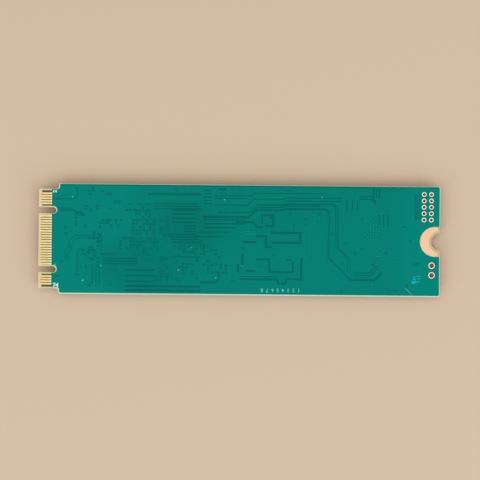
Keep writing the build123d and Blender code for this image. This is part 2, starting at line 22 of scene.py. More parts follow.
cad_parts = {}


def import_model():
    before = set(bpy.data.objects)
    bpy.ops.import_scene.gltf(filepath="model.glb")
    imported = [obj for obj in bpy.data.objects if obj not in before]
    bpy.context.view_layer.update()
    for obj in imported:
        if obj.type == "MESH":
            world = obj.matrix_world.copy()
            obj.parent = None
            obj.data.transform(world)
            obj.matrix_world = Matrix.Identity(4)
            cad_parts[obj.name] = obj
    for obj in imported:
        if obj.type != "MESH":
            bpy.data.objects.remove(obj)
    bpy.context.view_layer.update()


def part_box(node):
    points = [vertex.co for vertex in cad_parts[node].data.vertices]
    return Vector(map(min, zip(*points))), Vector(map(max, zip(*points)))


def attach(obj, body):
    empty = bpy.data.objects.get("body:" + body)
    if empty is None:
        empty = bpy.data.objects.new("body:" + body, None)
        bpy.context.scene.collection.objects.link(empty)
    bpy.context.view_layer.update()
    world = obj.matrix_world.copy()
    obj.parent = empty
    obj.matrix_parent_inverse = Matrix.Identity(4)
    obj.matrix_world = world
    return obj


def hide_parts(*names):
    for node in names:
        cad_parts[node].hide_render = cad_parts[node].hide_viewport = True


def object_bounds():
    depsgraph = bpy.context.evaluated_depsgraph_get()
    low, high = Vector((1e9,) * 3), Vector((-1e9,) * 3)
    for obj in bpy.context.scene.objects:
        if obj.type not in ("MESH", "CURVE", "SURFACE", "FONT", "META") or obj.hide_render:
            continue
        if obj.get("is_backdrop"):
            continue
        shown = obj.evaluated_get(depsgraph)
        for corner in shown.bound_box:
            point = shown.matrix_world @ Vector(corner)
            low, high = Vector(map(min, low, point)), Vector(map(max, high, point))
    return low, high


MM = 0.001
BODY = "root"
# Corners closer than this, in metres, are one corner of a solid.
JOIN = 1e-7
# How many facets a rounded edge has.
ROUND_FACETS = 2
# The wave texture turns by this many radians in one unit of its scale.
WAVE_RADIANS = 20.0
# The mix node's sockets for colours.
MIX_FIRST, MIX_SECOND, MIX_RESULT = 6, 7, 2
# A pattern that isn't drawn out along any axis.
EVEN = (1.0, 1.0, 1.0)

MASK_GREEN = "#008079"
# The back mask lies in a gap of the copper up to this far above its own middle.
GAP_LIFT = 0.012
# The laminate's pale rim starts this far inside its faces.
RIM_DEPTH = 0.02
# Thickness of a chip's carrier board, and of the glass on a resistor.
CARRIER = 0.2
GLASS_COAT = 0.06

Socket = bpy.types.NodeSocket
Place = tuple[float, float]
Stretch = tuple[float, float, float]

log = logging.getLogger("card")


class Side(Enum):
    """The two faces of the board, as the way that each one looks."""

    BACK = 1
    CHIPS = -1


def linear(colour: str) -> tuple[float, float, float, float]:
    """Turn an sRGB hex colour into linear light.

    Args:
        colour: Six hex digits after a hash sign.

    Returns:
        Red, green, blue and an alpha of one.
    """
    shares = [int(colour[at : at + 2], 16) / 255 for at in (1, 3, 5)]
    light = [share / 12.92 if share <= 0.04045 else ((share + 0.055) / 1.055) ** 2.4 for share in shares]
    return light[0], light[1], light[2], 1.0


@dataclass(frozen=True)
class Patch:
    """A soft oval patch of the card: its place from the card's middle, its half sizes, the share to which it
    is filled, and how much of it is filled so."""

    along: float
    across: float
    length: float
    width: float
    share: float
    core: float = 0.35


@dataclass
class Graph:
    """A material's nodes, with a short way to add each kind that the finishes use."""

    tree: bpy.types.NodeTree

    @cached_property
    def place(self) -> Socket:
        """The place on the surface."""
        metres = self.add("TexCoord", {}).outputs["Object"]
        return self.add("VectorMath", {0: metres, "Scale": 1 / MM}, operation="SCALE").outputs["Vector"]

    @cached_property
    def axes(self) -> tuple[Socket, ...]:
        """The place along the card, across it and upwards."""
        return tuple(self.add("SeparateXYZ", {0: self.place}).outputs)

    def feed(self, node: bpy.types.Node, inputs: dict[str | int, Any]) -> None:
        """Fill inputs of a node.

        Args:
            node: The node.
            inputs: A constant, a hex colour or a socket to link from, for each input by its name or number.
        """
        for key, value in inputs.items():
            if isinstance(value, Socket):
                self.tree.links.new(value, node.inputs[key])
            else:
                node.inputs[key].default_value = linear(value) if isinstance(value, str) else value

    def add(self, kind: str, inputs: dict[str | int, Any], **settings: Any) -> bpy.types.Node:
        """Add a shader node.

        Args:
            kind: The last part of Blender's name for its type.
            inputs: What goes into its inputs.
            settings: Values for its own properties.

        Returns:
            The new node.
        """
        made = self.tree.nodes.new(f"ShaderNode{kind}")
        for name, value in settings.items():
            setattr(made, name, value)
        self.feed(made, inputs)
        return made

    def calc(
        self, step: str, first: Socket | float, second: Socket | float = 0.0, clamp: bool = False
    ) -> Socket:
        """Work out one step of arithmetic, or compare two numbers."""
        return self.add("Math", {0: first, 1: second}, operation=step, use_clamp=clamp).outputs[0]

    def vector(self, step: str, first: Socket, second: Stretch = EVEN) -> bpy.types.NodeOutputs:
        """Work out one step of arithmetic on a vector."""
        return self.add("VectorMath", {0: first, 1: second}, operation=step).outputs

    def mix(
        self, share: Socket | float, first: Socket | str, second: Socket | str, blend: str = "MIX"
    ) -> Socket:
        """Mix a share of a second colour into a first: each is a socket or a hex colour."""
        inputs = {0: share, MIX_FIRST: first, MIX_SECOND: second}
        return self.add("Mix", inputs, data_type="RGBA", blend_type=blend).outputs[MIX_RESULT]

    def ramp(self, value: Socket, low: float, high: float, top: float = 1.0, kind: str = "LINEAR") -> Socket:
        """A number that rises from nought to its top as a value goes from a low one to a high one."""
        reach = {"Value": value, "From Min": low, "From Max": high, "To Max": top}
        return self.add("MapRange", reach, interpolation_type=kind).outputs["Result"]

    def mottle(self, size: float, stretch: Stretch = EVEN) -> Socket:
        """A cloudy pattern about a half, drawn out along each axis whose stretch is under one."""
        laid = self.add("Mapping", {"Vector": self.place, "Scale": stretch}).outputs["Vector"]
        return self.add("TexNoise", {"Vector": laid, "Scale": 1 / size}).outputs["Fac"]

    def bands(self, axis: str, pitch: float, waver: float = 0.0) -> Socket:
        """Bands across an axis, at a pitch, which run straight unless they waver."""
        rows = {"Vector": self.place, "Scale": math.tau / (WAVE_RADIANS * pitch), "Distortion": waver}
        return self.add("TexWave", rows, bands_direction=axis).outputs["Fac"]

    def relief(self, height: Socket, depth: float, **under: Socket) -> Socket:
        """The normal of a surface on which a pattern is raised, over another relief where one is given."""
        return self.add("Bump", {"Height": height, "Distance": depth * MM, **under}).outputs["Normal"]

    def filled(self, patches: Iterable[Patch]) -> Socket | float:
        """Make a number that is filled in some soft patches of the card and nought away from them.

        Args:
            patches: The patches.

        Returns:
            The number.
        """
        field: Socket | float = 0.0
        for patch in patches:
            offset = self.vector("SUBTRACT", self.place, (patch.along, patch.across, 0.0))["Vector"]
            shares = self.vector("MULTIPLY", offset, (1 / patch.length, 1 / patch.width, 0.0))["Vector"]
            away = self.vector("LENGTH", shares)["Value"]
            field = self.calc("MAXIMUM", field, self.ramp(away, 1.0, patch.core, patch.share, "SMOOTHSTEP"))
        return field


@dataclass(frozen=True)
class Finish:
    """A material named for what the real one is and for how its surface was made."""

    name: str
    colour: str
    roughness: float = 0.5
    metallic: float = 0.0
    specular: float = 0.5

    def material(self) -> bpy.types.Material:
        """Find the material, or make it on its first use.

        Returns:
            The material.
        """
        found = bpy.data.materials.get(self.name)
        if found is None:
            found = bpy.data.materials.new(self.name)
            found.use_nodes = True
            graph = Graph(found.node_tree)
            shader = found.node_tree.nodes["Principled BSDF"]
            graph.feed(shader, {"Roughness": self.roughness, "Metallic": self.metallic})
            graph.feed(shader, {"Specular IOR Level": self.specular, **self.surface(graph)})
        return found

    def surface(self, graph: Graph) -> dict[str, Any]:
        """The shader's inputs for the colour, and for the relief in finishes that have one."""
        return {"Base Color": self.colour}

    def dress(self, node: str) -> None:
        """Give this finish to a CAD node.

        Args:
            node: The node's name.
        """
        mesh = bpy.data.objects[node].data
        mesh.materials.clear()
        mesh.materials.append(self.material())
        log.info("%s: %s", node, self.name)


@dataclass(frozen=True)
class TonedFinish(Finish):
    """A surface of two tones, which drift by clouds or meet at a level, with a fine grain that catches the
    light."""

    second: str = "#808080"
    level: float | None = None
    cloud: float = 1.0
    spread: tuple[float, float] = (0.3, 0.7)
    grain: float = 0.05
    grain_depth: float = 0.002
    stretch: Stretch = EVEN

    def surface(self, graph: Graph) -> dict[str, Any]:
        """Mix the two tones and raise the grain.

        Args:
            graph: The material's nodes.

        Returns:
            The shader's inputs for the colour and the relief.
        """
        if self.level is None:
            share = graph.ramp(graph.mottle(self.cloud, self.stretch), *self.spread)
        else:
            share = graph.calc("GREATER_THAN", graph.axes[2], self.level)
        return {
            "Base Color": graph.mix(share, self.colour, self.second),
            "Normal": graph.relief(graph.mottle(self.grain, self.stretch), self.grain_depth),
        }


@dataclass(frozen=True)
class ContactFinish(TonedFinish):
    """Hard gold over nickel: satin, drawn along the card by the socket's springs, with a painted highlight
    that makes the inner ends pale."""

    metallic: float = 1.0
    second: str = "#E4D294"
    cloud: float = 0.12
    spread: tuple[float, float] = (0.35, 0.65)
    grain: float = 0.12
    grain_depth: float = 0.001
    stretch: Stretch = (0.12, 1.0, 1.0)
    # A painted highlight: the pale colour of the contacts' inner ends, and where along the card it fades in.
    inner: str = "#EDF8DC"
    highlight_start: float = -37.75
    highlight_end: float = -37.35

    def surface(self, graph: Graph) -> dict[str, Any]:
        """Paint a highlight on the inner ends of the contacts.

        Args:
            graph: The material's nodes.

        Returns:
            The shader's inputs for the colour and the relief.
        """
        plate = super().surface(graph)
        # Painted highlight: the inner ends turn pale.
        end = graph.ramp(graph.axes[0], self.highlight_start, self.highlight_end)
        return {**plate, "Base Color": graph.mix(end, plate["Base Color"], self.inner)}


@dataclass(frozen=True)
class SolderMaskFinish(Finish):
    """Screened green epoxy: bright over the solid copper at the ends of the card, duller over the fine tracks
    in between, and darker in the gaps etched in the copper: partly the epoxy over bare laminate, partly
    painted shade of the grooves, painted weaker where they run with the light. Places are from the card's
    middle."""

    specular: float = 0.03
    pour: str = "#00887F"
    tracks: str = "#007671"
    gap_shade: str = "#DEDEDE"
    gap_level: float = 0.0
    copper_half: float = 10.62
    copper_start: float = -37.08
    pour_left: tuple[float, float] = (-17.0, -27.0)
    pour_right: tuple[float, float] = (28.0, 36.0)
    track_patches: tuple[Patch, ...] = (
        Patch(-10.5, 3.0, 10.0, 7.0, 0.75), Patch(-21.0, -5.0, 13.0, 8.0, 0.6),
    )
    # Painted shade: where the grooves run with the light, the shade painted in them is weaker in these
    # patches.
    faint_shade_patches: tuple[Patch, ...] = (
        Patch(-32.0, -4.5, 8.0, 7.0, 0.5), Patch(-32.2, 10.0, 2.5, 2.0, 0.5),
        Patch(18.6, 1.0, 4.0, 8.0, 0.5), Patch(21.0, -5.0, 5.0, 4.5, 0.5), Patch(35.5, 7.3, 4.0, 6.0, 0.4),
    )
    cloud: float = 16.0
    cloud_share: float = 0.4
    spread: tuple[float, float] = (0.35, 0.65)
    peel: float = 0.4
    peel_depth: float = 0.003
    weave: float = 0.55
    weave_depth: float = 0.0015

    def surface(self, graph: Graph) -> dict[str, Any]:
        """Tone the epoxy by the copper under it, and add the peel and the weave that it shows.

        Args:
            graph: The material's nodes.

        Returns:
            The shader's inputs for the colour and the relief.
        """
        calc, mix = graph.calc, graph.mix
        along, across, height = graph.axes
        bright = graph.ramp(graph.mottle(self.cloud), *self.spread, self.cloud_share)
        for first, last in (self.pour_left, self.pour_right):
            bright = calc("ADD", bright, graph.ramp(along, first, last, kind="SMOOTHSTEP"), clamp=True)
        tone = mix(bright, self.colour, self.pour)
        tone = mix(graph.filled(self.track_patches), tone, self.tracks)
        sunk = calc("LESS_THAN", height, self.gap_level)
        beside = calc("GREATER_THAN", calc("ABSOLUTE", across), self.copper_half)
        before = calc("LESS_THAN", along, self.copper_start)
        no_copper = calc("MAXIMUM", calc("MAXIMUM", sunk, beside), before)
        # Painted shade of the grooves, with the darker epoxy over bare laminate: weaker in the patches above.
        gaps = calc("MULTIPLY", no_copper, calc("SUBTRACT", 1.0, graph.filled(self.faint_shade_patches)))
        skin = graph.relief(graph.mottle(self.peel), self.peel_depth)
        cloth = calc("MULTIPLY", graph.bands("X", self.weave), graph.bands("Y", self.weave))
        return {
            "Base Color": mix(gaps, tone, self.gap_shade, "MULTIPLY"),
            "Normal": graph.relief(cloth, self.weave_depth, Normal=skin),
        }


@dataclass(frozen=True)
class LaminateFinish(Finish):
    """Woven glass in resin: frosted and pale where the cutter passed, and dark where it looks down between
    the contacts. Places are from the card's middle."""

    layer: str = "#B9B184"
    rim: str = "#C4E9CE"
    tongue: str = "#EBD8B6"
    tongue_side: str = "#D6CE9E"
    notch: str = "#CDBB8E"
    window: str = "#53480F"
    bar: str = "#4C4B45"
    layer_pitch: float = 0.11
    layer_waver: float = 1.5
    fibre: float = 0.25
    fibre_depth: float = 0.004
    middle_level: float = 1.6
    face_level: float = 0.32
    cutter_rim: float = 0.32
    bar_rim: float = 0.72
    tongue_end: float = -36.9
    notch_centre: Place = (40.0, 0.0)
    notch_reach: float = 2.35
    end_start: float = 39.5
    end_half: float = 3.0
    tongue_half: float = 9.925
    key_offsets: tuple[float, float] = (5.625, -6.125)
    key_half: float = 0.6
    window_start: float = -39.56
    bar_start: float = -39.32
    window_end: float = -37.2

    def inset(self, graph: Graph) -> Socket:
        """Measure how far a place on the tongue lies from its cut sides and key slots.

        Args:
            graph: The material's nodes.

        Returns:
            The distance.
        """
        calc, across = graph.calc, graph.axes[1]
        clear = calc("SUBTRACT", self.tongue_half, calc("ABSOLUTE", across))
        for offset in self.key_offsets:
            away = calc("ABSOLUTE", calc("SUBTRACT", across, offset))
            clear = calc("MINIMUM", clear, calc("SUBTRACT", away, self.key_half))
        return clear

    def surface(self, graph: Graph) -> dict[str, Any]:
        """Paint the glass layers on the cut sides and the dark windows between the contacts.

        Args:
            graph: The material's nodes.

        Returns:
            The shader's inputs for the colour and the relief.
        """
        calc, mix = graph.calc, graph.mix
        along, across, height = graph.axes
        clear = self.inset(graph)
        past_edge = calc("GREATER_THAN", along, self.window_start)
        inside = calc("MULTIPLY", calc("GREATER_THAN", clear, self.cutter_rim), past_edge)
        inside = calc("MULTIPLY", inside, calc("LESS_THAN", along, self.window_end))
        at_bar = calc("LESS_THAN", clear, self.bar_rim)
        closed = calc("MULTIPLY", at_bar, calc("LESS_THAN", along, self.bar_start))
        inside = calc("GREATER_THAN", inside, closed)
        dark = mix(at_bar, self.window, self.bar)
        layers = graph.bands("Z", self.layer_pitch, self.layer_waver)
        fibres = calc("MULTIPLY", layers, graph.mottle(self.fibre))
        depth = calc("ABSOLUTE", calc("SUBTRACT", height, self.middle_level))
        on_face = calc("GREATER_THAN", depth, self.face_level)
        pale = mix(on_face, mix(fibres, self.colour, self.layer), self.rim)
        bare = mix(past_edge, self.tongue, self.tongue_side)
        pale = mix(calc("LESS_THAN", along, self.tongue_end), pale, bare)
        # Duller tan round the notch and beside its pad.
        reach = graph.vector("DISTANCE", graph.place, (*self.notch_centre, self.middle_level))["Value"]
        near_notch = calc("LESS_THAN", reach, self.notch_reach)
        near = calc("LESS_THAN", calc("ABSOLUTE", across), self.end_half)
        by_pad = calc("MULTIPLY", calc("GREATER_THAN", along, self.end_start), near)
        pale = mix(calc("MAXIMUM", near_notch, by_pad), pale, self.notch)
        return {"Base Color": mix(inside, pale, dark), "Normal": graph.relief(fibres, self.fibre_depth)}


@dataclass(frozen=True)
class Solid:
    """One solid of a CAD node, in metres: the middle and the extent of its box, and the least and the
    greatest distance of its corners from the upright through its middle."""

    centre: Vector
    size: Vector
    inner: float
    outer: float


def solids_of(node: str) -> list[Solid]:
    """Split a CAD node into its separate solids.

    Args:
        node: The node's name.

    Returns:
        The solids, in the order of their first corner in the mesh.
    """
    shape = bmesh.new()
    shape.from_mesh(bpy.data.objects[node].data)
    bmesh.ops.remove_doubles(shape, verts=shape.verts, dist=JOIN)
    solids = []
    seen: set[bmesh.types.BMVert] = set()
    for start in shape.verts:
        if start in seen:
            continue
        seen.add(start)
        reached = [start]
        for vert in reached:
            for other in (edge.other_vert(vert) for edge in vert.link_edges):
                if other not in seen:
                    seen.add(other)
                    reached.append(other)
        points = [vert.co for vert in reached]
        low, high = (Vector([pick(values) for values in zip(*points)]) for pick in (min, max))
        centre = (low + high) / 2
        reach = [(point - centre).xy.length for point in points]
        solids.append(Solid(centre, high - low, min(reach), max(reach)))
    shape.free()
    return solids


def in_scene(name: str, data: bpy.types.ID) -> bpy.types.Object:
    """Make an object and link it to the scene.

    Args:
        name: The object's name.
        data: Its mesh, text, light or camera.

    Returns:
        The new object.
    """
    made = bpy.data.objects.new(name, data)
    bpy.context.scene.collection.objects.link(made)
    return made


def add_piece(
    name: str, shape: bmesh.types.BMesh, finishes: list[Finish], smooth: bool = False
) -> bpy.types.Object:
    """Make a new piece of the card from a finished shape.

    Args:
        name: The piece's name.
        shape: Its shape, in place, which is used up.
        finishes: Its finishes, in the order of the faces' material numbers.
        smooth: Whether its faces are shaded as one round surface.

    Returns:
        The new object.
    """
    mesh = bpy.data.meshes.new(name)
    for face in shape.faces:
        face.smooth = smooth
    shape.to_mesh(mesh)
    shape.free()
    for finish in finishes:
        mesh.materials.append(finish.material())
    piece = in_scene(name, mesh)
    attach(piece, BODY)
    log.info("%s: %d faces", name, len(mesh.polygons))
    return piece


def soften(node: str, width: float) -> None:
    """Round the edges of a CAD node a little, without touching its own mesh.

    Args:
        node: The node's name.
        width: Width of the rounding.
    """
    piece = bpy.data.objects[node]
    weld = piece.modifiers.new("weld", "WELD")
    weld.merge_threshold = JOIN
    bevel = piece.modifiers.new("round", "BEVEL")
    bevel.width = width * MM
    bevel.segments = ROUND_FACETS
    bevel.limit_method = "ANGLE"


def turned(profile: list[Place], steps: int) -> bmesh.types.BMesh:
    """Turn a profile about the upright.

    Args:
        profile: Radius and height of each point, in metres. It runs back to its first point, unless that one
            lies on the upright.
        steps: How many sides the turned shape has.

    Returns:
        The turned shape, closed and with its faces outwards.
    """
    shape = bmesh.new()
    verts = [shape.verts.new((radius, 0.0, height)) for radius, height in profile]
    ends = verts[1:] if profile[0][0] == 0.0 else verts[1:] + verts[:1]
    geom = verts + [shape.edges.new(pair) for pair in zip(verts, ends)]
    bmesh.ops.spin(
        shape, geom=geom, axis=(0, 0, 1), cent=(0, 0, 0), angle=math.tau, steps=steps, use_merge=True
    )
    bmesh.ops.remove_doubles(shape, verts=shape.verts, dist=JOIN)
    bmesh.ops.recalc_face_normals(shape, faces=shape.faces)
    # On a very small shape that makes the faces agree but can leave them all inwards.
    if shape.calc_volume(signed=True) < 0.0:
        bmesh.ops.reverse_faces(shape, faces=shape.faces)
    return shape


def stamped(template: bmesh.types.BMesh, spots: Iterable[Vector]) -> bmesh.types.BMesh:
    """Copy one small shape to many places.

    Args:
        template: The shape to copy, which is used up.
        spots: Where each copy goes, in metres.

    Returns:
        All the copies as one shape.
    """
    mesh = bpy.data.meshes.new("stamp")
    template.to_mesh(mesh)
    template.free()
    shape = bmesh.new()
    for spot in spots:
        first = len(shape.verts)
        shape.from_mesh(mesh)
        shape.verts.ensure_lookup_table()
        bmesh.ops.transform(shape, matrix=Matrix.Translation(spot), verts=shape.verts[first:])
    bpy.data.meshes.remove(mesh)
    return shape


def draw_out(shape: bmesh.types.BMesh, faces: list[bmesh.types.BMFace], run: Vector) -> None:
    """Draw flat faces out into a solid.

    Args:
        shape: The shape that they are in.
        faces: The faces.
        run: How far and which way, in metres.
    """
    drawn = bmesh.ops.extrude_face_region(shape, geom=faces, use_keep_orig=True)
    moved = [part for part in drawn["geom"] if isinstance(part, bmesh.types.BMVert)]
    bmesh.ops.translate(shape, verts=moved, vec=run)


@dataclass(frozen=True)
class Finishes:
    """Every finish of the card. The first four have levels that come from the frame."""

    # Glossy green epoxy on copper, screened and cured: even, with faint dark lines where no copper is.
    back_mask: Finish
    # Glass cloth in epoxy, routed to its outline: a pale frosted rim and layered sides.
    laminate: Finish
    # Black epoxy, moulded with a fine spark-eroded grain, over a thin green carrier board.
    mould: Finish
    # White alumina with a black glass coat on its outer face.
    resistor: Finish
    chip_mask: Finish = SolderMaskFinish("solder_mask_chip_side_epoxy", MASK_GREEN, 0.34)
    # The same epoxy where it sinks into a short gap or round a large via's pad: a little darker.
    sunk_mask: Finish = TonedFinish(
        "solder_mask_sunk", "#00736D", 0.4, second="#006E67", cloud=0.6, grain=0.2, specular=0.03
    )
    # And round a small via's pad, where it is thickest.
    via_ring: Finish = TonedFinish(
        "solder_mask_round_vias", "#005C54", 0.4, second="#00534B", cloud=0.6, grain=0.2, specular=0.03
    )
    # And where it closes over the via: a low dome, painted lighter as the highlight on it.
    via_dome_highlight: Finish = TonedFinish(
        "solder_mask_over_vias", "#12A396", 0.4, second="#06958A", cloud=0.9, grain=0.2, specular=0.03
    )
    # Electroplated hard gold: warm satin with streaks along the card, and a painted highlight at the inner
    # ends.
    contact: Finish = ContactFinish("hard_gold_electroplated", "#F7EDB6", 0.32)
    # Coated bare copper: soft pink, satin and nearly even.
    pad: Finish = TonedFinish(
        "bare_copper_coated", "#FBD3BA", 0.46, second="#F6CCAE", cloud=1.6, grain=0.12, grain_depth=0.0012,
        metallic=1.0,
    )
    # Solder levelled by hot air on the rings: white with a cool cast.
    ring: Finish = TonedFinish(
        "solder_levelled_on_rings", "#F0FFF6", 0.4, second="#E4F6EA", cloud=0.35, grain=0.15,
        grain_depth=0.001, metallic=0.4,
    )
    # The same solder down in a hole, dulled: red-brown, which also paints the shade of the floor seen down
    # the hole.
    bore: Finish = TonedFinish(
        "plated_bore_dulled", "#BC6A4C", 0.5, second="#984C34", cloud=0.3, grain=0.1, metallic=0.2
    )
    # Tin alloy, melted and set: bright with a soft grain.
    solder: Finish = TonedFinish(
        "tin_solder_reflowed", "#C9CBCC", 0.28, second="#B4B6B8", cloud=0.4, grain=0.09, grain_depth=0.0015,
        metallic=1.0,
    )
    # Black epoxy again, on the small chips, which are sawn apart.
    small_mould: Finish = TonedFinish(
        "moulding_compound_sawn", "#1D1D1F", 0.55, second="#242427", cloud=0.8, grain=0.06, grain_depth=0.004
    )
    # Iron powder pressed in resin: dark grey and sandy.
    powder: Finish = TonedFinish(
        "iron_powder_pressed", "#55565A", 0.6, second="#47484C", cloud=0.25, grain=0.08, grain_depth=0.006
    )
    # Fired dielectric: tan, matt, a little uneven from part to part.
    capacitor: Finish = TonedFinish("dielectric_ceramic_fired", "#A98561", second="#967350", cloud=1.4)
    # Sintered ceramic: dark brown and matt.
    crystal_base: Finish = TonedFinish(
        "dark_ceramic_sintered", "#54483A", 0.55, second="#483D31", cloud=0.7, grain=0.06, grain_depth=0.003
    )
    # Nickel-plated lid, seam-welded: grey-gold, finely brushed along the card.
    crystal_lid: Finish = TonedFinish(
        "lid_metal_plated", "#CFC7AE", 0.3, second="#BDB59C", cloud=0.3, grain_depth=0.001, metallic=1.0,
        stretch=(0.1, 1.0, 1.0),
    )
    # Screened white ink: flat, opaque, a touch thin in places.
    print_white: Finish = TonedFinish(
        "screened_white_ink", "#D2FFFF", 0.6, second="#BFF8F4", cloud=0.25, grain=0.08
    )
    # The same ink laid thin, so that the green shows through it.
    print_thin: Finish = TonedFinish(
        "screened_white_ink_thin", "#78F0E6", 0.6, second="#54D6CC", cloud=0.3, grain=0.08
    )
    # A dab of blue-green marker ink, dried in strokes.
    marker: Finish = TonedFinish(
        "marker_ink_dried", "#00B8D2", 0.45, second="#00A6C2", cloud=0.5, grain=0.2, specular=0.06
    )
    # The same ink in thin streaks beside the dab.
    marker_streak: Finish = TonedFinish(
        "marker_ink_thin", "#00A89C", 0.45, second="#08B2A4", cloud=0.3, grain=0.2, specular=0.2
    )
    # Epoxy torn by a scratch: pale and dull.
    scratch: Finish = TonedFinish(
        "epoxy_scratched", "#3DB3A2", 0.7, second="#58C2B2", cloud=0.3, grain=0.1, specular=0.2
    )
    # Dust bedded in the epoxy, which tones it.
    dust: Finish = TonedFinish("dust_bedded", "#42C4B8", 0.9, second="#74E6DA", cloud=0.1, specular=0.1)


def card_finishes() -> Finishes:
    """Choose the card's finishes.

    Returns:
        The finishes, with the levels that they need from the frame.
    """
    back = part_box("solder_mask_back")
    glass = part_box("board_laminate")
    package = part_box("controller")
    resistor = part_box("resistor_bodies")
    return Finishes(
        back_mask=SolderMaskFinish(
            "solder_mask_screened_epoxy", MASK_GREEN, 0.34,
            gap_level=(back[1].z + back[0].z) / 2 / MM + GAP_LIFT,
        ),
        laminate=LaminateFinish(
            "glass_laminate_routed", "#D3D6B4", 0.6, middle_level=(glass[0].z + glass[1].z) / 2 / MM,
            face_level=(glass[1].z - glass[0].z) / 2 / MM - RIM_DEPTH,
        ),
        mould=TonedFinish(
            "moulding_compound_on_carrier", "#1B1B1D", 0.55, second="#2E3A26",
            level=package[1].z / MM - CARRIER, grain=0.06, grain_depth=0.004,
        ),
        resistor=TonedFinish(
            "alumina_with_glass_coat", "#19191B", 0.4, second="#E4E2DA",
            level=resistor[0].z / MM + GLASS_COAT, grain=0.06, grain_depth=0.004,
        ),
    )


@dataclass(frozen=True)
class ViaField:
    """A block of vias on a grid: its first place, its columns and rows, their pitch, and the share of its
    places that are taken."""

    along: float
    across: float
    columns: int
    rows: int
    pitch: float
    share: float = 1.0

    def places(self, luck: random.Random) -> list[Place]:
        """Pick the places of the vias by the card's own random draws."""
        grid = [
            (self.along + column * self.pitch, self.across - row * self.pitch)
            for column in range(self.columns)
            for row in range(self.rows)
        ]
        return [place for place in grid if luck.random() < self.share]


